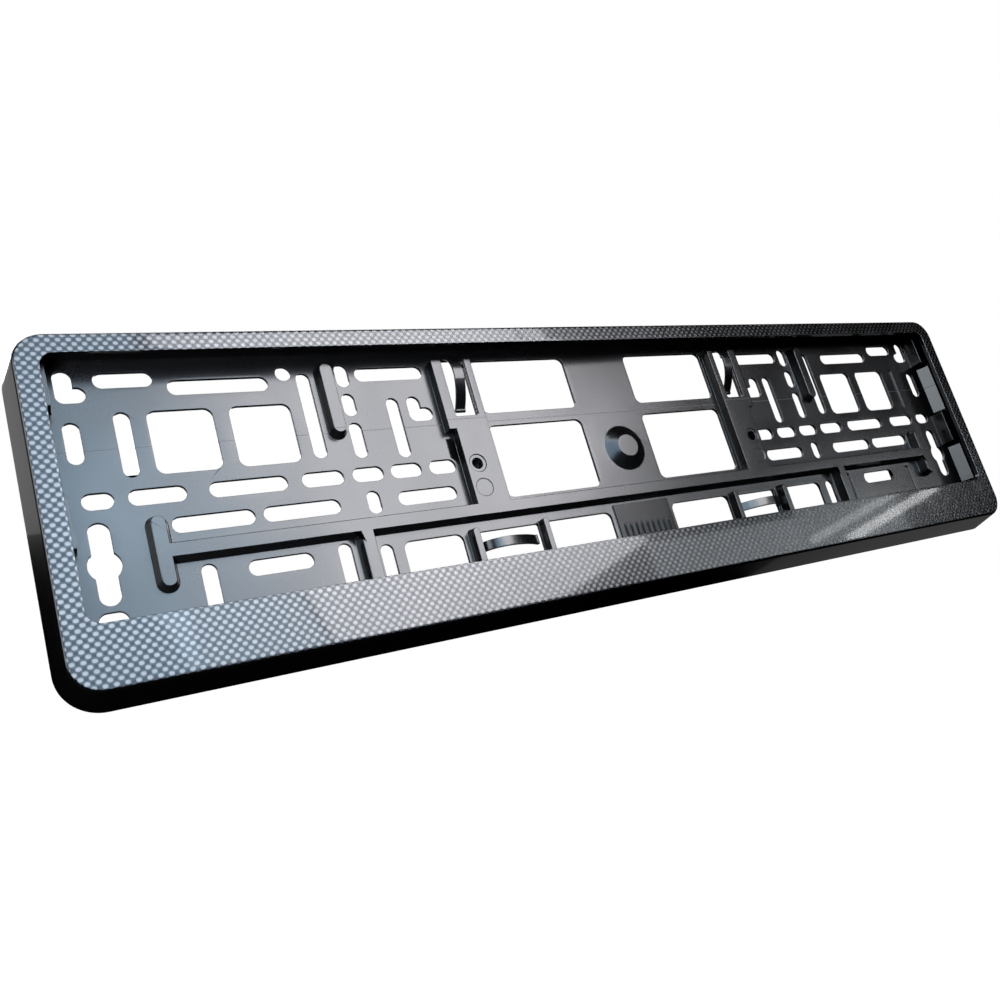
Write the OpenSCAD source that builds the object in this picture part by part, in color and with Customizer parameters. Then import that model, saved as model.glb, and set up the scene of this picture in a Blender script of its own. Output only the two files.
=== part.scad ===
// Number plate holder in two mouldings that clip together: a carrier that is bolted
// to the car and a frame that clips over it and keeps the plate in place.
// X runs along the width, Z is up and the face looks towards -Y.
// The origin is the middle of the mounting face, which lies in the plane Y = 0.

/* [Front frame] */
// Width over the back of the frame
frame_w = 534.4; // [526:0.2:560]
// Height over the back of the frame
frame_h = 138.2; // [132:0.2:150]
// Distance from the mounting face to the front of the frame
frame_d = 16; // [14.5:0.5:22]
// Thickness of the face
face_t = 2.2; // [1.6:0.1:2.6]
// Thickness of the side walls
side_t = 2.4; // [1.8:0.1:3]
// How far each end wall leans in from the back to the face
lean_side = 4.8; // [2:0.1:6]
// How far the bottom wall leans in
lean_low = 5.2; // [2:0.1:6]
// How far the top wall leans in
lean_top = 0.2; // [0:0.1:4]
// Radius of the corners at the back
corner_r = 16; // [12:0.5:24]
// Radius of the corners of the face
face_r = 11; // [9:0.5:16]
// Width of the face above the opening
lip_top = 7.9; // [6:0.1:10]
// Width of the face below the opening
lip_bottom = 22.9; // [20:0.1:28]
// Width of the face at each end of the opening
lip_side = 8.4; // [6:0.1:11]
// Radius of the corners of the opening
opening_r = 5; // [2:0.5:10]
// How far the side walls stop short of the mounting face
wall_lift = 0.5; // [0.2:0.1:1.5]

/* [Snap fit] */
// Clearance between the carrier and the side walls
fit_gap = 0.3; // [0.2:0.05:0.6]
// Length of a catch along the edge
catch_len = 16; // [8:1:24]
// Height of a catch
catch_h = 2; // [1.5:0.1:3]
// How far a catch stands out from the carrier
catch_out = 1; // [0.7:0.1:1.2]
// Clearance round a catch in its pocket
catch_gap = 0.3; // [0.2:0.05:0.5]
// Distance from the mounting face to a catch
catch_z = 5; // [3.5:0.5:6]
// Distance from the middle to the inner pair of catches
catch_x1 = 60; // [40:1:90]
// Distance from the middle to the outer pair of catches
catch_x2 = 190; // [150:1:220]

/* [Carrier panel] */
// Thickness of the panel
panel_t = 1.6; // [1.4:0.1:2.4]
// Gap between the back of the panel and the mounting face
panel_lift = 1.2; // [0.8:0.1:1.6]
// Half width of the pad behind the middle strip
pad_half = 12; // [10:1:16]
// Thickness of the rim round the panel
rim_t = 1.6; // [1.2:0.1:2.2]
// Height of the rim above the mounting face
rim_h = 9; // [8:0.5:11]
// Inside radius of the window corners
window_r = 3.5; // [1:0.5:5]
// Width of the level fixing slots
slot_w = 6.4; // [5:0.1:7]
// Width of the upright fixing slots
upright_w = 5.8; // [5:0.1:7]
// Width of the grooves that stand for a slot on one side
groove_w = 3; // [2:0.1:4]
// Lowest reach of the lower windows
lower_end = -50; // [-54:0.5:-44]
// Half width of the solid strip in the middle
strip_half = 19.2; // [14:0.1:20]

/* [Raised bars] */
// Height of the bars above the panel
bar_h = 5; // [3:0.5:7]
// Width of the front of a bar
bar_w = 5.4; // [4.6:0.1:7]
// How far the foot of a bar stands out on each side
bar_foot = 1.4; // [0.4:0.1:1.4]
// Thickness of the walls round the hollow behind a bar
bar_wall = 1.6; // [1.2:0.1:2]
// Height of the middle line of the long bar
long_bar_z = -16; // [-17:0.5:-15]
// Distance from the middle to the end bars
end_bar_x = 224.2; // [223:0.1:226]
// Distance from the middle to the upright bars
upright_x = 145.4; // [144.5:0.1:146.5]
// Inner edge of the raised blocks beside the middle windows
block_in = 74.6; // [74:0.1:76]
// Outer edge of the upper part of the blocks
block_out = 95; // [94:0.5:97]
// How much narrower the lower part of the blocks is
block_step = 3.5; // [2:0.5:5]
// Height at which the blocks change their width
block_step_z = 23; // [20:0.5:26]
// Height of the top of the bars and blocks
bar_top = 57.5; // [54:0.5:60]

/* [Plate springs] */
// Thickness of a leaf
leaf_t = 1.2; // [0.8:0.1:1.6]
// Width of the upper leaves
leaf_w_up = 5; // [4:0.5:7]
// Width of the lower leaves
leaf_w_low = 4.5; // [4:0.5:7]
// Length of an upper leaf from its root to its tip
leaf_len_up = 25.5; // [20:0.5:27]
// Length of a lower leaf from its root to its tip
leaf_len_low = 28; // [22:0.5:28]
// How far the crest of an upper leaf stands out from the panel
leaf_rise_up = 8; // [5:0.5:9]
// How far the crest of a lower leaf stands out from the panel
leaf_rise_low = 6; // [4:0.5:9]

/* [Centre boss] */
// Radius of the boss where it meets the panel
boss_r1 = 12; // [10:0.5:13]
// Radius of the flat front of the boss
boss_r2 = 5.8; // [4:0.1:7]
// Height of the boss
boss_h = 3.5; // [2:0.5:5]
// Sideways place of the boss
boss_x = 1.8; // [-2:0.1:2]
// Height of the middle of the boss
boss_z = 7.7; // [4:0.1:10]

/* [Edge stops] */
// How far the stops at the ends of the plate reach in from the end of the frame
stop_in = 14.8; // [12:0.1:16]
// Height of the stops above the panel
stop_h = 7.5; // [5:0.5:8]
// How far the slanted guides between the stops reach in
guide_in = 10.6; // [9:0.1:12]

/* [Hidden] */
$fn = 64;
eps = 0.01;

// Edges of the face, which the walls lean in to
face_half = frame_w / 2 - lean_side;
face_low = lean_low - frame_h / 2;
face_top = frame_h / 2 - lean_top;

// Opening of the frame
open_half = face_half - lip_side;
open_low = face_low + lip_bottom;
open_top = face_top - lip_top;

// The carrier fills the frame up to the clearance
base_in = side_t + fit_gap;

// Depth of the pockets that take the catches
pocket_d = catch_out - fit_gap + catch_gap;

// Share of a lean that the walls have reached at the middle of the catches
catch_share = (catch_z + catch_h / 2) / frame_d;

// Depths of the panel's front and of the front of the bars
panel_z = panel_lift + panel_t;
bar_z = panel_z + bar_h;
block_low_out = block_out - block_step;

// Lower and upper end of the pad behind the middle strip
pad_low = -46;
pad_top = 55;

// Heights where the end bars and the upper upright bars begin and end
end_bar_low = -26.8;
end_bar_top = -5;
upright_low = 28.3;

// Round hole on one side only
single_hole = [-162.7, 56];

// Level slot on the same side only: height, then its ends
single_slot = [-38, 239.5, 249.5];

// Upright slots on that side that are blind grooves on the other: place, lower end and upper end
mixed_slots = [
    [154.8, lower_end, -21.5],
    [209, lower_end, -22],
    [229, 15.7, 42.4]
];
groove_d = 0.8;

// Fixing slots that lie level: height, then the two ends from the middle outwards
level_slots = [
    [56, 215, 236.5],
    [51.8, 170, 210],
    [54, 98.5, 131],
    [-5.2, 97.6, 125.8],
    [-5.2, 152, 184],
    [-5.2, 187.4, 218.8],
    [-26.2, 168.4, 194.3]
];

// The long row of level slots that carries the bolts
bolt_row_z = 7.4;
bolt_row = [
    [94.5, 107.5],
    [111.5, 126],
    [129.5, 143.5],
    [147.5, 165.5],
    [171.5, 202.5],
    [211, 232],
    [237, 248]
];

// Fixing slots that stand upright: place, lower end and upper end
upright_slots = [
    [247, 22.5, 39.2],
    [154.8, 16.6, 55.8],
    [137, 48.5, 59.2],
    [137, 34.7, 45.2],
    [137, 15.1, 31.4],
    [137, -10.4, -0.3],
    [137, lower_end, -24.4],
    [117, 13.6, 42]
];

// Slots bent like an L: upright arm, its ends, level arm and the level arm's inner end
corner_slots = [
    [247, 50.4, 57.4, 242.9],
    [106.8, 33.4, 39, 101.7]
];

// Outer end of the four large windows beside the middle strip
window_out = 72.4;

// Windows: inner end, outer end, lower edge and upper edge
windows = [
    [195, 220, 15.9, 42.2],
    [163.2, 188.5, 15.9, 42.2],
    [strip_half, window_out, 31.6, 58.7],
    [strip_half, window_out, -10.6, 25.1],
    [strip_half, 58, lower_end, -24.5],
    [100.6, 129, lower_end, -24.5]
];

// Windows of the springs
low_spring = [61.2, 92, -42, -25];
up_spring = [78, 90, 29, 59.5];
low_leaf_z = -32.2;
tip_r = leaf_t * 0.8;
leaf_root = 2.2;

// Keyhole with a slot above and below its head
key_x = 244.2;
key_z = -17.3;
key_w = 7.4;
key_head_r = 5.8;
key_low = -32.3;
key_top = -0.9;

// Two narrow ribs beside the lower springs
rib_out_x = 96;
rib_out_w = 3;
rib_in_x = 59.6;
rib_in_w = 2.6;
rib_top = -24;

// Small holes in the blocks
peg_x = 85.8;
peg_z = 5.7;
peg_r = 2.6;
peg_ring_r = 4.2;
peg_ring_h = 0.5;
pin_mark_z = -6;
pin_mark_d = 0.4;

// Ledge in the middle of the lower strip
ledge_half = 17;
ledge_top = -21.5;
ledge_h = 0.9;
ridge_w = 1.2;
ridge_h = 0.6;
ridge_pitch = 3.4;
ridge_count = 9;
ridge_low = lower_end + 4;
ridge_top = -31.5;

// Heights of the stops and guides at each end
stops = [[43, 60], [-12, 8]];
guides = [[10, 41], [-38, -14]];

// Lays a layout drawn flat, with depth as z, upright behind the face
module upright() {
    rotate([90, 0, 0]) children();
}

// Repeats a layout on both sides of the middle
module both_sides() {
    children();
    mirror([1, 0, 0]) children();
}

// Rectangle with round corners, centred
module round_rect(w, h, r) {
    square([w - 2 * r, h], center = true);
    square([w, h - 2 * r], center = true);
    for (x = [-1, 1], y = [-1, 1])
        translate([x * (w / 2 - r), y * (h / 2 - r)]) circle(r);
}

// Rectangle with round corners between two corner points
module round_box(x1, x2, y1, y2, r) {
    translate([(x1 + x2) / 2, (y1 + y2) / 2]) round_rect(x2 - x1, y2 - y1, r);
}

module level_slot(z, x1, x2, w) {
    translate([x1 + w / 2, z - w / 2]) square([x2 - x1 - w, w]);
    for (x = [x1 + w / 2, x2 - w / 2]) translate([x, z]) circle(w / 2);
}

module upright_slot(x, z1, z2, w) {
    translate([x - w / 2, z1 + w / 2]) square([w, z2 - z1 - w]);
    for (z = [z1 + w / 2, z2 - w / 2]) translate([x, z]) circle(w / 2);
}

// Level arm and upright arm that share one round corner
module corner_slot(x, z1, z2, x2) {
    upright_slot(x, z1 - slot_w / 2, z2 + slot_w / 2, slot_w);
    level_slot(z1, x2 - slot_w / 2, x + slot_w / 2, slot_w);
}

module keyhole() {
    upright_slot(key_x, key_low, key_top, key_w);
    translate([key_x, key_z]) circle(key_head_r);
}

// Outline of the holder at the back, moved in by an inset
module back_outline(inset) {
    half_w = frame_w / 2 - inset;
    half_h = frame_h / 2 - inset;
    round_box(-half_w, half_w, -half_h, half_h, corner_r - inset);
}

// Outline of the face, moved in by an inset
module face_outline(inset) {
    half_w = face_half - inset;
    round_box(-half_w, half_w, face_low + inset, face_top - inset, face_r - inset);
}

// Block bounded by the leaning walls moved in by an inset, from depth z1 to depth z2
module leaning_block(inset, z1, z2) {
    intersection() {
        hull() {
            translate([0, 0, -1]) linear_extrude(1) back_outline(inset);
            translate([0, 0, frame_d]) linear_extrude(1) face_outline(inset);
        }
        translate([-frame_w / 2, -frame_h / 2, z1]) cube([frame_w, frame_h, z2 - z1]);
    }
}

// Places of the catches on the walls moved in by an inset, turned to face outwards
module at_catches(inset) {
    for (x = [-catch_x2, -catch_x1, catch_x1, catch_x2]) {
        translate([x, frame_h / 2 - inset - lean_top * catch_share, 0]) rotate(90) children();
        translate([x, inset + lean_low * catch_share - frame_h / 2, 0]) rotate(-90) children();
    }
    for (side = [0, 180])
        rotate(side) translate([frame_w / 2 - inset - lean_side * catch_share, 0, 0]) children();
}

// Straight bar with round ends and leaning sides, between two points
module bar(a, b, half, foot, z1, z2) {
    run = b - a;
    translate([a[0], a[1], 0]) rotate(atan2(run[1], run[0])) {
        rotate([90, 0, 90]) linear_extrude(norm(run))
            polygon([[-half - foot, z1], [half + foot, z1], [half, z2], [-half, z2]]);
        for (x = [0, norm(run)]) translate([x, 0, z1]) cylinder(h = z2 - z1, r1 = half + foot, r2 = half);
    }
}

// Every bar once: solid with inset 0, or its hollow with the wall as inset
module bars(inset) {
    half = bar_w / 2 - inset;
    z1 = inset > 0 ? -1 : panel_z - eps;
    z2 = bar_z - inset;
    foot = bar_foot * (z2 - z1) / bar_h;
    bar([-end_bar_x, long_bar_z], [end_bar_x, long_bar_z], half, foot, z1, z2);
    both_sides() {
        bar([end_bar_x, end_bar_low], [end_bar_x, end_bar_top], half, foot, z1, z2);
        bar([upright_x, upright_low], [upright_x, bar_top - bar_w / 2], half, foot, z1, z2);
        bar([upright_x, lower_end + bar_w / 2], [upright_x, long_bar_z], half, foot, z1, z2);
    }
}

// Outline of a raised block, moved in by an inset
module block_outline(inset) {
    low = long_bar_z;
    translate([block_in + inset, low])
        square([block_low_out - block_in - 2 * inset, bar_top - inset - low]);
    translate([block_in + inset, block_step_z + inset])
        square([block_out - block_in - 2 * inset, bar_top - block_step_z - 2 * inset]);
}

// Middle line of a leaf: it leaves the panel steeply, crests early and runs back down to its tip
function leaf_ends(length, rise) = [[-1, 0], [2, rise * 1.3], [length * 0.55, rise * 1.42], [length, 0]];
function bezier(p, t) = pow(1 - t, 3) * p[0] + 3 * t * pow(1 - t, 2) * p[1]
    + 3 * t * t * (1 - t) * p[2] + pow(t, 3) * p[3];
function bezier_run(p, t) = pow(1 - t, 2) * (p[1] - p[0]) + 2 * t * (1 - t) * (p[2] - p[1])
    + t * t * (p[3] - p[2]);

// Point beside the middle line, half a thickness to one side of it
function leaf_side(p, t, s) = let (run = bezier_run(p, t))
    bezier(p, t) + s * leaf_t / 2 * [-run[1], run[0]] / norm(run);

// Curved leaf with a rolled tip: it starts at the origin and runs along +x, z is depth
module leaf(length, w, rise) {
    steps = 16;
    p = leaf_ends(length, rise);
    translate([0, w / 2, panel_z - panel_t / 2]) rotate([90, 0, 0]) linear_extrude(w) {
        polygon([
            for (i = [0:steps]) leaf_side(p, i / steps, 1),
            for (i = [steps:-1:0]) leaf_side(p, i / steps, -1)
        ]);
        translate([length, leaf_t / 4]) circle(tip_r, $fn = 24);
        translate([-leaf_root, -panel_t / 2]) square([leaf_root + 0.2, panel_t]);
    }
}

module panel_cuts() {
    both_sides() {
        for (s = level_slots) level_slot(s[0], s[1], s[2], slot_w);
        for (s = bolt_row) level_slot(bolt_row_z, s[0], s[1], slot_w);
        for (s = upright_slots) upright_slot(s[0], s[1], s[2], upright_w);
        for (s = corner_slots) corner_slot(s[0], s[1], s[2], s[3]);
        for (w = windows) round_box(w[0], w[1], w[2], w[3], window_r);
        round_box(low_spring[0], low_spring[1], low_spring[2], low_spring[3], 1);
        keyhole();
    }
    translate(single_hole) circle(slot_w / 2);
    mirror([1, 0]) {
        level_slot(single_slot[0], single_slot[1], single_slot[2], slot_w);
        for (s = mixed_slots) upright_slot(s[0], s[1], s[2], upright_w);
    }
}

// Stops and guides run on outwards and are trimmed to the leaning end wall
module edge_stops() {
    far = frame_w / 2;
    rim_face = far - base_in - rim_t - lean_side * rim_h / frame_d;
    for (s = stops) translate([far - stop_in, s[0], panel_z - eps])
        cube([stop_in, s[1] - s[0], stop_h + eps]);
    for (g = guides) translate([0, g[1], 0]) rotate([90, 0, 0]) linear_extrude(g[1] - g[0])
        polygon([[far - guide_in, panel_z - eps], [far, panel_z - eps], [far, rim_h], [rim_face, rim_h]]);
}

// Blunt cone that stands on the middle strip
module centre_boss() {
    translate([boss_x, boss_z, panel_z - eps]) cylinder(h = boss_h + eps, r1 = boss_r1, r2 = boss_r2);
}

// Blind core that keeps the wall of the boss even
module boss_core() {
    translate([boss_x, boss_z, -1])
        cylinder(h = 1 + panel_z + boss_h - bar_wall, r = boss_r2 - bar_wall / 2);
}

module ledge() {
    translate([-ledge_half, lower_end, panel_z - eps])
        cube([2 * ledge_half, ledge_top - lower_end, ledge_h + eps]);
    for (i = [0:ridge_count - 1])
        translate([(i - (ridge_count - 1) / 2) * ridge_pitch - ridge_w / 2, ridge_low, panel_z])
            cube([ridge_w, ridge_top - ridge_low, ledge_h + ridge_h]);
}

// Panel with its openings, rim, stops and guides, all inside the leaning walls
module tray() {
    intersection() {
        leaning_block(base_in, 0, frame_d - face_t);
        union() {
            difference() {
                translate([0, 0, panel_lift]) linear_extrude(panel_t) difference() {
                    square([frame_w, frame_h], center = true);
                    panel_cuts();
                }
                for (s = mixed_slots) translate([0, 0, panel_z - groove_d])
                    linear_extrude(groove_d + 1) upright_slot(s[0], s[1], s[2], groove_w);
            }
            both_sides() edge_stops();
            difference() {
                translate([-frame_w / 2, -frame_h / 2, -1]) cube([frame_w, frame_h, 1 + rim_h]);
                leaning_block(base_in + rim_t, -2, rim_h + 1);
            }
        }
    }
}

// Raised parts on the front of the panel
module raised_parts() {
    bars(0);
    centre_boss();
    ledge();
    both_sides() {
        translate([0, 0, panel_z - eps]) linear_extrude(bar_h + eps) block_outline(0);
        translate([rib_in_x - rib_in_w / 2, lower_end, panel_z - eps])
            cube([rib_in_w, rib_top - lower_end, bar_h + eps]);
        bar([rib_out_x, lower_end + rib_out_w / 2], [rib_out_x, rib_top - rib_out_w / 2],
            rib_out_w / 2, bar_foot / 2, panel_z - eps, bar_z);
    }
}

// Hollows behind the bars, the blocks and the boss
module hollows() {
    bars(bar_wall);
    boss_core();
    both_sides() translate([0, 0, -1]) linear_extrude(1 + bar_z - bar_wall) block_outline(bar_wall);
}

// Panel with its raised parts hollow behind, the pad and the catches
module hollow_panel() {
    difference() {
        union() {
            tray();
            raised_parts();
            linear_extrude(panel_lift + eps) round_box(-pad_half, pad_half, pad_low, pad_top, window_r);
            at_catches(base_in) translate([-rim_t / 2, -catch_len / 2, catch_z])
                cube([rim_t / 2 + catch_out, catch_len, catch_h]);
        }
        hollows();
    }
}

// Clips over the carrier: the opening shows the plate and the leaning walls hide its edges
module front_frame() {
    color("#3b4048") upright() difference() {
        leaning_block(0, wall_lift, frame_d);
        leaning_block(side_t, -1, frame_d - face_t);
        translate([0, 0, frame_d - face_t - 1]) linear_extrude(face_t + 2)
            round_box(-open_half, open_half, open_low, open_top, opening_r);
        at_catches(side_t)
            translate([-1, -catch_len / 2 - catch_gap, catch_z - catch_gap])
                cube([1 + pocket_d, catch_len + 2 * catch_gap, catch_h + 2 * catch_gap]);
    }
}

// Carrier with the fixing slots, the raised bars behind the plate and the springs that press on it
module base_plate() {
    color("#1d1f22") upright() {
        difference() {
            union() {
                hollow_panel();
                both_sides() translate([peg_x, peg_z, panel_lift])
                    cylinder(h = bar_z - panel_lift - peg_ring_h, r = peg_r + bar_wall);
            }
            both_sides() {
                translate([0, 0, -1]) linear_extrude(bar_z + 2)
                    round_box(up_spring[0], up_spring[1], up_spring[2], up_spring[3], 1);
                translate([peg_x, peg_z, panel_lift + bar_wall]) cylinder(h = bar_z, r = peg_r);
                translate([peg_x, peg_z, bar_z - peg_ring_h]) cylinder(h = 1, r = peg_ring_r);
                translate([peg_x, pin_mark_z, bar_z - pin_mark_d]) cylinder(h = 1, r = peg_ring_r);
            }
        }
        both_sides() {
            translate([(up_spring[0] + up_spring[1]) / 2, up_spring[3], 0])
                rotate(-90) leaf(leaf_len_up, leaf_w_up, leaf_rise_up);
            translate([low_spring[1], low_leaf_z, 0])
                mirror([1, 0, 0]) leaf(leaf_len_low, leaf_w_low, leaf_rise_low);
        }
    }
}

front_frame();
base_plate();
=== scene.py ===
# %% [markdown]
# # A number plate holder in the studio
# The real object is two black plastic mouldings. A slotted carrier is screwed
# to the car, and a front frame clips over it and keeps the plate in. The
# exact solids come from the CAD model, so this lesson is about finish: how
# soft edges, a printed face, a satin moulding and a few lamps make them look
# like the thing itself. First the imported model is loaded.

import math

import bmesh
import bpy
from mathutils import Matrix, Vector


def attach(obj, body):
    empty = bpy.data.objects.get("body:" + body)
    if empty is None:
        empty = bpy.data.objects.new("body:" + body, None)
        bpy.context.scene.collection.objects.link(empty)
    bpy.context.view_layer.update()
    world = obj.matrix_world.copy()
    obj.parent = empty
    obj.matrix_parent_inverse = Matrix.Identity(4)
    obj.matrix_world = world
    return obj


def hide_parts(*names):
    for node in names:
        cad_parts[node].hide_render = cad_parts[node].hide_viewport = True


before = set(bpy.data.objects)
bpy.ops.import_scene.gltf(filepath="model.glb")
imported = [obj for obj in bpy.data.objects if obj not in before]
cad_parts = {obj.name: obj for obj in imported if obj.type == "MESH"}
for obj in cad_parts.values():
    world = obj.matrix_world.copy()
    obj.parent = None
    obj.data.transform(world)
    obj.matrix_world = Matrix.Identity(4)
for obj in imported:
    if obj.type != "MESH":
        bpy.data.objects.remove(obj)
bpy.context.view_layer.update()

# %% [markdown]
# ## The camera
# A wide lens close to the left end makes that end look much larger than the
# right one. The camera's place was solved from the outline of the frame in
# the photograph, so it is written as three axes and a point, and the small
# shift moves the picture without turning the camera.

# %% Camera
camera_data = bpy.data.cameras.new("studio_camera")
camera_data.lens = 30.633
camera_data.sensor_width = 36
camera_data.shift_x = 0.0136
camera_data.shift_y = 0.0659
camera_data.clip_start = 0.01
camera = bpy.data.objects.new("studio_camera", camera_data)
camera_right = Vector((0.8655023, -0.42287736, -0.26847813))
camera_up = Vector((0.14578137, -0.30013023, 0.94269276))
camera_back = Vector((-0.47922183, -0.85504186, -0.19811577))
turn = Matrix((camera_right, camera_up, camera_back)).transposed()
camera.matrix_world = Matrix.Translation((-0.2720, -0.32142, -0.11439)) @ turn.to_4x4()
bpy.context.scene.collection.objects.link(camera)
bpy.context.scene.camera = camera
print("camera at", [round(v, 3) for v in camera.location])

# %% [markdown]
# ## Soft edges
# A CAD edge is perfectly sharp and catches no light, but every moulded edge
# has a small radius that shows as a thin bright or dark line. A copy of each
# solid has its loose triangles merged. A face with holes can't be one
# polygon, so the copy is cut on a 5 mm grid first, and the flat triangles
# inside each cell are then joined. The grid is shifted for each piece so that
# no cut runs close beside an edge. A Bevel modifier rounds the edges that
# turn by more than 22 degrees, and Weighted Normal keeps the flats flat.

# %% A copy with rounded edges
GRID_STEP = 0.005
HALF_WIDTH = 0.268
HALF_HEIGHT = 0.070
SAME_POINT = 2e-6
ON_THE_CUT = 2e-5
SLIVER = 6e-5
FLAT_TURN = math.radians(0.3)
SHARP_TURN = math.radians(22)
SMALLER_SHARE = 0.3


def cut_on_grid(solid, axis, half_size, first_cut):
    direction = [0, 0, 0]
    direction[axis] = 1
    for step in range(int(2 * half_size / GRID_STEP)):
        point = [0, 0, 0]
        point[axis] = (step + first_cut) * GRID_STEP - half_size
        everything = solid.verts[:] + solid.edges[:] + solid.faces[:]
        cut = bmesh.ops.bisect_plane(
            solid, geom=everything, dist=ON_THE_CUT, plane_co=point, plane_no=direction
        )
        for part in cut["geom_cut"]:
            if isinstance(part, bmesh.types.BMEdge):
                part.seam = True


def soft_edged_copy(node_name, piece_name, radius, first_cuts, is_round=None):
    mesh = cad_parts[node_name].data.copy()
    mesh.name = piece_name
    solid = bmesh.new()
    solid.from_mesh(mesh)
    bmesh.ops.remove_doubles(solid, verts=solid.verts, dist=SAME_POINT)
    cut_on_grid(solid, 0, HALF_WIDTH, first_cuts[0])
    cut_on_grid(solid, 2, HALF_HEIGHT, first_cuts[1])
    bmesh.ops.dissolve_limit(
        solid, angle_limit=FLAT_TURN, verts=solid.verts, edges=solid.edges, delimit={"SEAM"}
    )
    bmesh.ops.remove_doubles(solid, verts=solid.verts, dist=SLIVER)
    if is_round:
        share = solid.edges.layers.float.new("bevel_weight_edge")
        for edge in solid.edges:
            if edge.calc_face_angle(0) > SHARP_TURN:
                edge[share] = 1.0 if is_round(edge) else SMALLER_SHARE
    solid.to_mesh(mesh)
    solid.free()
    piece = bpy.data.objects.new(piece_name, mesh)
    bpy.context.scene.collection.objects.link(piece)
    bevel = piece.modifiers.new("moulded edges", "BEVEL")
    bevel.width = radius
    bevel.segments = 3 if is_round else 2
    bevel.limit_method = "WEIGHT" if is_round else "ANGLE"
    bevel.angle_limit = SHARP_TURN
    bevel.use_clamp_overlap = False
    flats = piece.modifiers.new("flat faces", "WEIGHTED_NORMAL")
    flats.weight = 90
    flats.keep_sharp = False
    return piece


def bake_modifiers(piece):
    piece.data.shade_smooth()
    view = bpy.context.evaluated_depsgraph_get()
    baked = bpy.data.meshes.new_from_object(piece.evaluated_get(view))
    piece.modifiers.clear()
    piece.data = baked
    print(piece.name, len(baked.vertices), "points", len(baked.polygons), "faces")


# %% [markdown]
# ## Nodes in a few words
# Both finishes are built from shader nodes. A few small helpers keep that
# readable: the main one adds a node and plugs its inputs, and the others name
# what is used most, such as arithmetic, a soft step, a mix of two colours,
# noise and a bump.


# %% Helpers for shader nodes
def start_material(name):
    material = bpy.data.materials.new(name)
    material.use_nodes = True
    tree = material.node_tree
    return material, tree, tree.nodes["Principled BSDF"]


def add_node(tree, kind, plugs, **settings):
    made = tree.nodes.new(kind)
    for key, value in settings.items():
        setattr(made, key, value)
    for socket, value in plugs.items():
        if isinstance(value, bpy.types.NodeSocket):
            tree.links.new(value, made.inputs[socket])
        else:
            made.inputs[socket].default_value = value
    return made


def maths(tree, operation, first, second=0.0):
    plugs = {0: first, 1: second}
    return add_node(tree, "ShaderNodeMath", plugs, operation=operation).outputs[0]


def ramp(tree, value, low, high, out_low=0.0, out_high=1.0):
    plugs = {0: value, 1: low, 2: high, 3: out_low, 4: out_high}
    step = add_node(tree, "ShaderNodeMapRange", plugs, interpolation_type="SMOOTHSTEP")
    return step.outputs[0]


def blend_colours(tree, share, first, second):
    plugs = {0: share, 6: first, 7: second}
    return add_node(tree, "ShaderNodeMix", plugs, data_type="RGBA").outputs[2]


def vector(tree, x, y=0.0, z=0.0):
    return add_node(tree, "ShaderNodeCombineXYZ", {0: x, 1: y, 2: z}).outputs[0]


def place_on_piece(tree):
    where = tree.nodes.new("ShaderNodeTexCoord").outputs["Object"]
    return where, add_node(tree, "ShaderNodeSeparateXYZ", {0: where}).outputs


def noise(tree, where, scale, detail=2.0):
    plugs = {"Vector": where, "Scale": scale, "Detail": detail}
    return add_node(tree, "ShaderNodeTexNoise", plugs).outputs["Fac"]


def bump(tree, height, strength, distance):
    plugs = {"Height": height, "Strength": strength, "Distance": distance}
    return add_node(tree, "ShaderNodeBump", plugs).outputs[0]


# %% [markdown]
# ## The printed face
# The face wears a fine woven print under a clear lacquer: pale cells, 3.5 mm
# apart along a row and half a step aside in the next row, with a dark cell
# between two pale ones and a mid tone around them. The print lies on the flat
# of the face and stops where the edge starts to turn, so the depth of a point
# decides between print and bare black plastic. The pale cells are partly
# metallic, as foil is, and shine and fade with the lamps, and the dark cells
# are duller. The lacquer adds one sharp reflection over everything.

# %% Printed frame material
CELL_STEP = 0.0035
ROW_STEP = 0.00181
PRINT_STARTS = -0.01590
PRINT_IS_FULL = -0.01597
BARE_PLASTIC = (0.006, 0.006, 0.007, 1)
DARK_CELL = (0.008, 0.010, 0.015, 1)

printed, tree, shader = start_material("printed_frame")
where, (across, depth, up_high) = place_on_piece(tree)
row = maths(tree, "DIVIDE", up_high, ROW_STEP)
half_steps = maths(tree, "MULTIPLY", maths(tree, "FLOOR", row), 0.5)
along = maths(tree, "ADD", maths(tree, "DIVIDE", across, CELL_STEP), half_steps)
side = maths(tree, "ABSOLUTE", maths(tree, "SUBTRACT", maths(tree, "FRACT", along), 0.5))
rise = maths(tree, "ABSOLUTE", maths(tree, "SUBTRACT", maths(tree, "FRACT", row), 0.5))


def oval(tree, sideways, upwards, half_width, half_height):
    squareness = 2.2
    wide = maths(tree, "POWER", maths(tree, "DIVIDE", sideways, half_width), squareness)
    high = maths(tree, "POWER", maths(tree, "DIVIDE", upwards, half_height), squareness)
    return ramp(tree, maths(tree, "ADD", wide, high), 1.7, 0.3)


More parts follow.
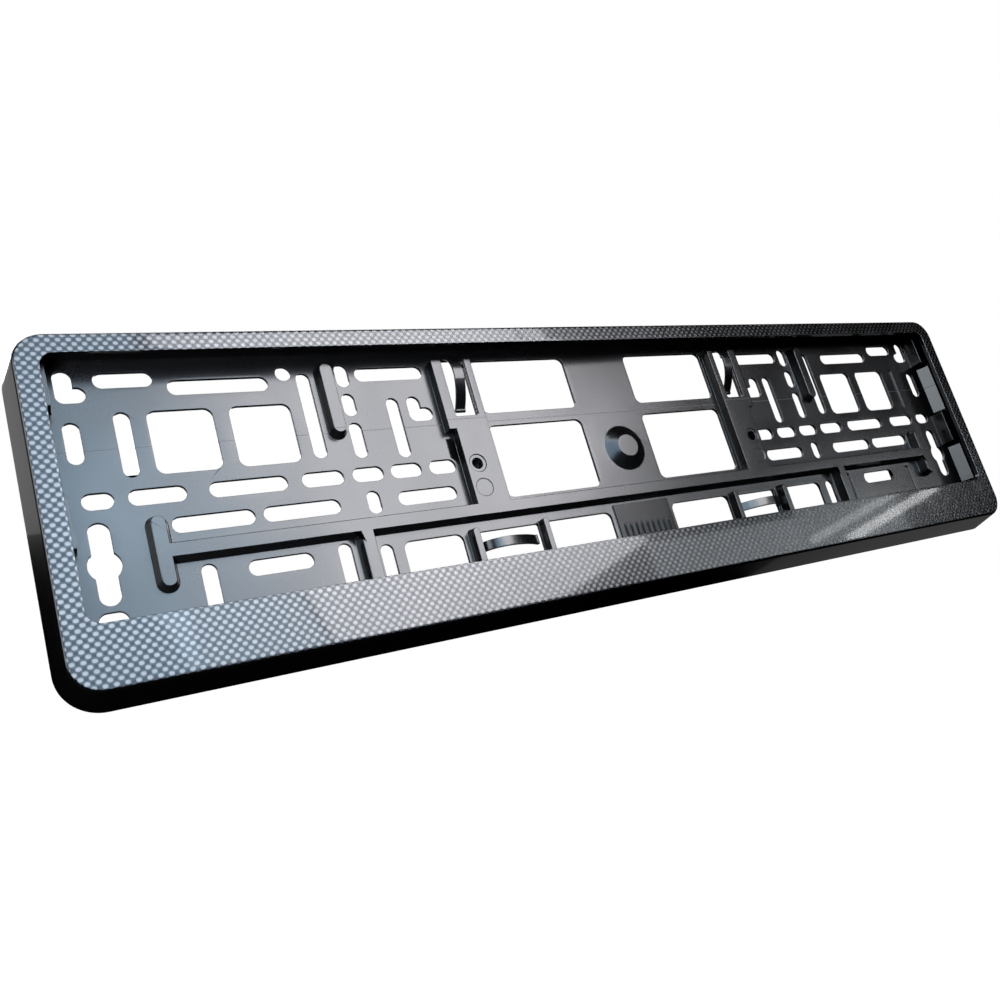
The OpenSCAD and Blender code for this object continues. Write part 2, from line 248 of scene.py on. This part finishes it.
cell = oval(tree, side, rise, 0.26, 0.41)
gap = oval(tree, maths(tree, "SUBTRACT", 0.5, side), rise, 0.20, 0.36)
printed_area = ramp(tree, depth, PRINT_STARTS, PRINT_IS_FULL)
cells_here = maths(tree, "MULTIPLY", cell, printed_area)
cloud = noise(tree, where, 35.0)
ground = blend_colours(tree, cloud, (0.070, 0.090, 0.120, 1), (0.085, 0.105, 0.135, 1))
pale = blend_colours(tree, cloud, (0.56, 0.58, 0.61, 1), (0.64, 0.66, 0.69, 1))
weave = blend_colours(tree, gap, ground, DARK_CELL)
print_colour = blend_colours(tree, cell, weave, pale)
colour = blend_colours(tree, printed_area, BARE_PLASTIC, print_colour)
tree.links.new(colour, shader.inputs["Base Color"])
tree.links.new(maths(tree, "MULTIPLY", cells_here, 0.075), shader.inputs["Metallic"])
cloudy = ramp(tree, cloud, 0.3, 0.7, 0.20, 0.25)
rough = maths(tree, "ADD", maths(tree, "MULTIPLY", cells_here, 0.08), cloudy)
tree.links.new(rough, shader.inputs["Roughness"])
dull_gaps = maths(tree, "MULTIPLY", maths(tree, "MULTIPLY", gap, printed_area), -0.15)
tree.links.new(maths(tree, "ADD", dull_gaps, 0.45), shader.inputs["Specular IOR Level"])
shader.inputs["Coat Weight"].default_value = 0.50
shader.inputs["Coat Roughness"].default_value = 0.04
grain = bump(tree, noise(tree, where, 900.0), 0.006, 0.0002)
tree.links.new(grain, shader.inputs["Normal"])
print("print cells are", CELL_STEP * 1000, "by", ROW_STEP * 1000, "mm")

# %% [markdown]
# ## The satin carrier
# The carrier is plain black plastic from a polished mould. It looks grey
# where it mirrors a lamp and black where it doesn't. Fine noise breaks up the
# sheen, a wider noise varies it over centimetres, and a hairline at 27.5 mm
# is the witness line where two parts of the mould met. The raised ledge under
# the boss looks darker in the photograph, so it gets less gloss here.

# %% Carrier material
WITNESS_HEIGHT = 0.0275
LEDGE_HALF_WIDTH = 0.0170
LEDGE_TOP = -0.0215
LEDGE_DEPTH = -0.0030
SOFT_STEP = 0.0001

carrier_finish, tree, shader = start_material("carrier_plastic")
where, (across, depth, up_high) = place_on_piece(tree)
flow = noise(tree, where, 22.0, 3.0)
speckle = noise(tree, where, 1400.0)
off_line = maths(tree, "ABSOLUTE", maths(tree, "SUBTRACT", up_high, WITNESS_HEIGHT))
witness = ramp(tree, off_line, 0.00030, 0.00012)
plain = blend_colours(tree, flow, (0.016, 0.017, 0.019, 1), (0.026, 0.027, 0.030, 1))
colour = blend_colours(tree, witness, plain, (0.010, 0.010, 0.012, 1))
tree.links.new(colour, shader.inputs["Base Color"])
patchy = ramp(tree, flow, 0.3, 0.7, 0.21, 0.27)
sheen = maths(tree, "ADD", patchy, maths(tree, "MULTIPLY", speckle, 0.015))
rough = maths(tree, "ADD", sheen, maths(tree, "MULTIPLY", witness, 0.12))
tree.links.new(rough, shader.inputs["Roughness"])


def below(tree, value, limit):
    return ramp(tree, value, limit + SOFT_STEP, limit - SOFT_STEP)


ledge = below(tree, maths(tree, "ABSOLUTE", across), LEDGE_HALF_WIDTH)
for value, limit in ((up_high, LEDGE_TOP), (depth, LEDGE_DEPTH)):
    ledge = maths(tree, "MULTIPLY", ledge, below(tree, value, limit))
tree.links.new(ramp(tree, ledge, 0.0, 1.0, 0.80, 0.38), shader.inputs["Specular IOR Level"])
tree.links.new(bump(tree, speckle, 0.012, 0.0001), shader.inputs["Normal"])

# %% [markdown]
# ## Dress the two mouldings
# Each copy stands for its CAD node. The frame's face has a rounder outer
# edge, 0.9 mm, because the print ends there in a soft black line, and its
# other edges get a third of that. The carrier's slot edges are crisp.

# %% Front frame and carrier
ROUND_EDGE = 0.0009
CRISP_EDGE = 0.00022
FACE_LIMIT = -0.0159
SIDE_LIMIT = 0.2550
LOW_LIMIT = -0.0500
HIGH_LIMIT = 0.0635


def on_outer_edge_of_face(edge):
    places = [point.co for point in edge.verts]
    at_the_face = all(place.y < FACE_LIMIT for place in places)
    outside = all(
        abs(place.x) > SIDE_LIMIT or not LOW_LIMIT < place.z < HIGH_LIMIT for place in places
    )
    return at_the_face and outside


front = soft_edged_copy(
    "front_frame", "front_frame_shell", ROUND_EDGE, (0.6, 0.5), on_outer_edge_of_face
)
carrier = soft_edged_copy("base_plate", "carrier_panel", CRISP_EDGE, (0.27, 0.27))
for piece, finish, node_name, slot_name in (
    (front, printed, "front_frame", "printed_frame"),
    (carrier, carrier_finish, "base_plate", "carrier_plastic"),
):
    bake_modifiers(piece)
    piece.data.materials.clear()
    piece.data.materials.append(finish)
    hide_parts(node_name)
    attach(piece, "root")

# %% [markdown]
# ## Crests on the ledge
# The ledge under the boss carries nine ridges. They look finer in the
# photograph than the CAD has them, so each gets a fine crest, which is a
# guess. What repeats is made by Geometry Nodes: a line of points, one bar on
# each, and a material at the end. The sizes are named inputs of the tree, and
# the row stands in the middle of the holder. Each crest sinks 0.1 mm into its
# ridge, which ends 4.3 mm in front of the car, so nothing hangs in the air.

# %% A row of bars with Geometry Nodes
RIDGE_FRONT = -0.0043
RIDGE_MIDDLE = -0.03875
CREST_DEPTH = 0.0007
CREST_SUNK = 0.0001


def row_of_bars(name, material, place):
    tree = bpy.data.node_groups.new(name, "GeometryNodeTree")
    tree.interface.new_socket("Geometry", in_out="OUTPUT", socket_type="NodeSocketGeometry")
    tree.interface.new_socket("Count", in_out="INPUT", socket_type="NodeSocketInt")
    for size_name in ("Pitch", "Width", "Depth", "Length"):
        tree.interface.new_socket(size_name, in_out="INPUT", socket_type="NodeSocketFloat")
    given = tree.nodes.new("NodeGroupInput").outputs
    gaps = maths(tree, "SUBTRACT", given["Count"], 1.0)
    row_length = maths(tree, "MULTIPLY", gaps, given["Pitch"])
    start = vector(tree, maths(tree, "MULTIPLY", row_length, -0.5), *place)
    step = vector(tree, given["Pitch"])
    plugs = {"Count": given["Count"], "Start Location": start, "Offset": step}
    line = add_node(tree, "GeometryNodeMeshLine", plugs)
    size = vector(tree, given["Width"], given["Depth"], given["Length"])
    bar = add_node(tree, "GeometryNodeMeshCube", {"Size": size})
    plugs = {"Points": line.outputs[0], "Instance": bar.outputs[0]}
    copies = add_node(tree, "GeometryNodeInstanceOnPoints", plugs)
    solid = add_node(tree, "GeometryNodeRealizeInstances", {"Geometry": copies.outputs[0]})
    plugs = {"Geometry": solid.outputs[0], "Material": material}
    dressed = add_node(tree, "GeometryNodeSetMaterial", plugs)
    result = tree.nodes.new("NodeGroupOutput")
    tree.links.new(dressed.outputs[0], result.inputs[0])
    return tree


crest_sizes = {"Count": 9, "Pitch": 0.0034, "Width": 0.0007}
crest_sizes.update({"Depth": CREST_DEPTH, "Length": 0.0125})
crest_middle = (RIDGE_FRONT + CREST_SUNK - CREST_DEPTH / 2, RIDGE_MIDDLE)
crest_tree = row_of_bars("crest_row", carrier_finish, crest_middle)
crests = bpy.data.objects.new("ledge_crests", bpy.data.meshes.new("ledge_crests"))
bpy.context.scene.collection.objects.link(crests)
nodes = crests.modifiers.new("row of crests", "NODES")
nodes.node_group = crest_tree
for socket in crest_tree.interface.items_tree:
    if socket.name in crest_sizes:
        nodes[socket.identifier] = crest_sizes[socket.name]
rounding = crests.modifiers.new("moulded edges", "BEVEL")
rounding.width = 0.00012
rounding.segments = 2
bake_modifiers(crests)
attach(crests, "root")

# %% [markdown]
# ## Lamps
# Dark gloss shows the room more than its own colour, so each lamp is placed
# where the face mirrors it. Almost all of them stand on one wall, 1.2 m in
# front, and are given by their place on it. A lamp of kind "sheen" is seen
# in reflections only, one of kind "light" brightens the colours only, one of
# kind "both" does both, and none shows to the camera directly. The radiance
# is what a mirror would show of a lamp with the full spread.

# %% Softboxes
WALL = -1.22
WHITE = (1.0, 1.0, 1.0)
PALE = (0.95, 0.95, 1.0)
COOL = (0.56, 0.78, 1.0)
BLUISH = (0.86, 0.94, 1.0)


def softbox(name, centre, aim, size, radiance, tint, kind, roll=0.0, spread=180):
    lamp = bpy.data.lights.new(name, "AREA")
    lamp.shape = "RECTANGLE"
    lamp.size, lamp.size_y = size
    lamp.energy = radiance * math.pi * size[0] * size[1]
    lamp.color = tint
    lamp.spread = math.radians(spread)
    holder = bpy.data.objects.new(name, lamp)
    towards = (Vector(aim) - Vector(centre)).to_track_quat("-Z", "Y").to_matrix().to_4x4()
    holder.matrix_world = Matrix.Translation(centre) @ towards @ Matrix.Rotation(roll, 4, "Z")
    holder.visible_camera = False
    holder.visible_glossy = kind != "light"
    holder.visible_diffuse = kind != "sheen"
    bpy.context.scene.collection.objects.link(holder)
    print(name, "radiance", radiance)


def wall_softbox(name, x, z, size, radiance, tint, roll=0.0, forward=0.0):
    centre = (x, WALL + forward, z)
    softbox(name, centre, (x, 0.0, z), size, radiance, tint, "sheen", roll)


# %% [markdown]
# The main softbox leans by 19 degrees and is seen in the face from a quarter
# of its length to just past the middle, with a narrow strip beside its upper
# part and a small card at its corner. A cool panel and a brighter cool core
# fill the left end. A dim fill reaches the lower right, and two thin tilted
# tubes draw the streaks there. The high card lights the boss from the left.

# %% The wall of lamps in front
wall_softbox("main_softbox", 0.503, 0.513, (0.77, 0.86), 8.2, PALE, 0.33)
wall_softbox("side_softbox", 0.864, 0.742, (0.06, 0.66), 8.2, PALE, 0.33, 0.01)
wall_softbox("corner_card", 1.02, 0.545, (0.12, 0.13), 12.0, PALE, 0.0, 0.02)
wall_softbox("cool_panel", -0.265, 0.45, (0.49, 1.10), 3.8, COOL)
wall_softbox("cool_core", 0.03, 0.30, (0.23, 0.60), 5.4, (0.66, 0.84, 1.0), 0.33, 0.01)
wall_softbox("high_card", -0.18, 1.24, (0.50, 0.45), 5.0, (0.8, 0.9, 1.0))
wall_softbox("low_fill", 1.25, 0.085, (0.50, 0.28), 2.3, BLUISH)
wall_softbox("right_fill", 1.71, 0.155, (0.42, 0.42), 1.7, BLUISH)
wall_softbox("streak_tube", 1.855, 0.19, (0.45, 0.025), 8.5, WHITE, 0.23, 0.02)
wall_softbox("faint_tube", 1.70, 0.20, (0.42, 0.022), 3.8, WHITE, 0.23, 0.02)

# %% [markdown]
# A few more lamps stand round the holder: cards that show in the leaning
# walls and guides, a wide softbox behind and one above, so the holder can
# also be read from there, and a narrow key light that brightens the pale
# cells at the left end and fades towards the right.

# %% Lamps around the holder
softbox("left_card", (-1.10, -0.72, 0.42), (-0.05, 0, 0), (0.8, 0.7), 3.8, BLUISH, "sheen")
softbox("back_card", (-0.85, 0.85, 0.62), (-0.27, 0, 0), (0.6, 0.5), 0.4, WHITE, "sheen")
softbox("low_card", (0.95, 0.34, -0.36), (0.2, 0, -0.07), (0.5, 0.4), 0.13, WHITE, "sheen")
softbox("rear_softbox", (0.25, 1.40, 0.70), (0.1, 0, 0), (1.6, 1.1), 5.5, PALE, "both")
softbox("top_softbox", (0.10, 0.60, 1.50), (0, 0.05, 0), (1.6, 0.8), 4.0, PALE, "both")
key_place = (-0.42, -0.36, -0.08)
softbox("key_light", key_place, (-0.22, 0, 0), (0.12, 0.12), 2.3, PALE, "light", spread=60)

# %% [markdown]
# ## Floor and background
# The picture stands on white. The pale floor lies well below the holder,
# because the camera looks up from under its lower edge, and the white world
# is seen by the camera only, so the dark sides of the plastic stay dark.

# %% Floor and world
floor_mesh = bpy.data.meshes.new("studio_floor")
floor_shape = bmesh.new()
bmesh.ops.create_circle(floor_shape, cap_ends=True, segments=96, radius=6.0)
floor_shape.to_mesh(floor_mesh)
floor_shape.free()
floor = bpy.data.objects.new("studio_floor", floor_mesh)
floor.location = (0, 0, -0.42)
bpy.context.scene.collection.objects.link(floor)
floor_finish, _, shader = start_material("pale_floor")
shader.inputs["Base Color"].default_value = (0.9, 0.9, 0.9, 1)
shader.inputs["Roughness"].default_value = 0.9
shader.inputs["Emission Color"].default_value = (1, 1, 1, 1)
shader.inputs["Emission Strength"].default_value = 1.1
floor_mesh.materials.append(floor_finish)
floor.visible_glossy = False
floor.visible_diffuse = False

world = bpy.data.worlds.new("white_room")
world.use_nodes = True
background = world.node_tree.nodes["Background"]
background.inputs["Color"].default_value = (1, 1, 1, 1)
background.inputs["Strength"].default_value = 1.0
world.cycles_visibility.diffuse = False
world.cycles_visibility.glossy = False
bpy.context.scene.world = world
bpy.context.scene.view_settings.view_transform = "Standard"
